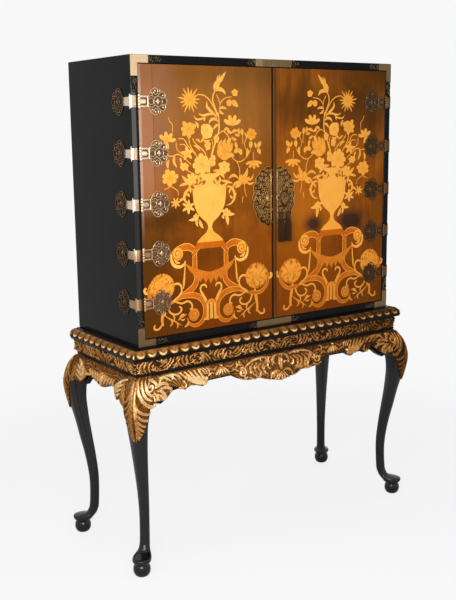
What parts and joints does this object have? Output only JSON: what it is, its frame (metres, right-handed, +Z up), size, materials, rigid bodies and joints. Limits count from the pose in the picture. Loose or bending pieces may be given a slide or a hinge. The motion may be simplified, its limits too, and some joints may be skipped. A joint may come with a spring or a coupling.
{
  "type": "cabinet on stand",
  "caption": "Ebonised cabinet with floral marquetry doors on brass strap hinges, over a carved gilt stand with cabriole legs and ball feet.",
  "frame": {"origin": "on the floor, midway between the four feet, which is the centre of the base of the bounding box", "axes": "+X along the front to the viewer's right, +Y towards the back, +Z up"},
  "size_m": [1.1612, 0.4736, 1.576],
  "materials": {
    "ebonised_wood": "ebonised and polished",
    "walnut_marquetry": "figured walnut veneer with lighter floral inlay, French polished",
    "gilt_wood": "carved and gilt, toned, with black lines",
    "brass": "pierced and lacquered sheet",
    "mahogany": "satin",
    "mirror": "silvered glass",
    "glass": "clear, ground edges",
    "dark_steel": "dark, handled",
    "silk": "dark silk threads"
  },
  "bodies": {
    "cabinet": {"case_side_left": "ebonised_wood", "case_side_right": "ebonised_wood", "case_top": "ebonised_wood", "case_bottom": "ebonised_wood", "case_back": "mahogany", "shelf": "mahogany", "back_mirror": "mirror", "glass_shelf": "glass", "shelf_bearer_left": "brass", "shelf_bearer_right": "brass", "corner_mount_top_left": "brass", "corner_mount_top_right": "brass", "corner_mount_bottom_left": "brass", "corner_mount_bottom_right": "brass", "rail_mount_top": "brass", "rail_mount_bottom": "brass", "hinge_case_leaf_left_1": "brass", "hinge_case_leaf_left_2": "brass", "hinge_case_leaf_left_3": "brass", "hinge_case_leaf_left_4": "brass", "hinge_case_leaf_left_5": "brass", "hinge_case_leaf_right_1": "brass", "hinge_case_leaf_right_2": "brass", "hinge_case_leaf_right_3": "brass", "hinge_case_leaf_right_4": "brass", "hinge_case_leaf_right_5": "brass", "stand_tray": "gilt_wood", "frieze_frame": "gilt_wood", "apron_front": "gilt_wood", "apron_left": "gilt_wood", "apron_right": "gilt_wood", "apron_back": "ebonised_wood", "leg_front_left": "ebonised_wood", "leg_front_right": "ebonised_wood", "leg_back_left": "ebonised_wood", "leg_back_right": "ebonised_wood"},
    "left_door": {"door_left": "walnut_marquetry", "hinge_door_leaf_left_1": "brass", "hinge_door_leaf_left_2": "brass", "hinge_door_leaf_left_3": "brass", "hinge_door_leaf_left_4": "brass", "hinge_door_leaf_left_5": "brass", "escutcheon_left": "brass", "strike_keep": "brass"},
    "right_door": {"door_right": "walnut_marquetry", "hinge_door_leaf_right_1": "brass", "hinge_door_leaf_right_2": "brass", "hinge_door_leaf_right_3": "brass", "hinge_door_leaf_right_4": "brass", "hinge_door_leaf_right_5": "brass", "escutcheon_right": "brass", "meeting_bead": "ebonised_wood", "lock_case": "brass"},
    "lock_bolt": {"lock_bolt": "dark_steel"},
    "key": {"key": "dark_steel"},
    "tassel": {"tassel": "silk"},
    "flush_bolt_top": {"flush_bolt_top": "brass"},
    "flush_bolt_bottom": {"flush_bolt_bottom": "brass"}
  },
  "joints": [
    {"name": "left_door_hinge", "type": "hinge", "parent": "cabinet", "child": "left_door", "pos_m": [-0.49525, -0.181, 1.1465], "axis": [0, 0, -1], "range_deg": [0, 170]},
    {"name": "right_door_hinge", "type": "hinge", "parent": "cabinet", "child": "right_door", "pos_m": [0.49525, -0.181, 1.1465], "axis": [0, 0, 1], "range_deg": [0, 170]},
    {"name": "key_turn", "type": "hinge", "parent": "right_door", "child": "key", "pos_m": [0.0165, -0.2125, 1.1405], "axis": [0, 1, 0], "range_deg": [0, 120]},
    {"name": "lock_bolt_slide", "type": "slide", "parent": "right_door", "child": "lock_bolt", "axis": [-1, 0, 0], "range_m": [0, 0.01]},
    {"name": "tassel_hang", "type": "hinge", "parent": "key", "child": "tassel", "pos_m": [0.0165, -0.2125, 1.118], "axis": [0, 1, 0], "range_deg": [-120, 0]},
    {"name": "flush_bolt_top_slide", "type": "slide", "parent": "left_door", "child": "flush_bolt_top", "axis": [0, 0, 1], "range_m": [0, 0.012]},
    {"name": "flush_bolt_bottom_slide", "type": "slide", "parent": "left_door", "child": "flush_bolt_bottom", "axis": [0, 0, -1], "range_m": [0, 0.012]}
  ],
  "couplings": [
    {"joint": "lock_bolt_slide", "follows": "key_turn", "m_per_rad": 0.004774},
    {"joint": "tassel_hang", "follows": "key_turn", "ratio": -1}
  ]
}
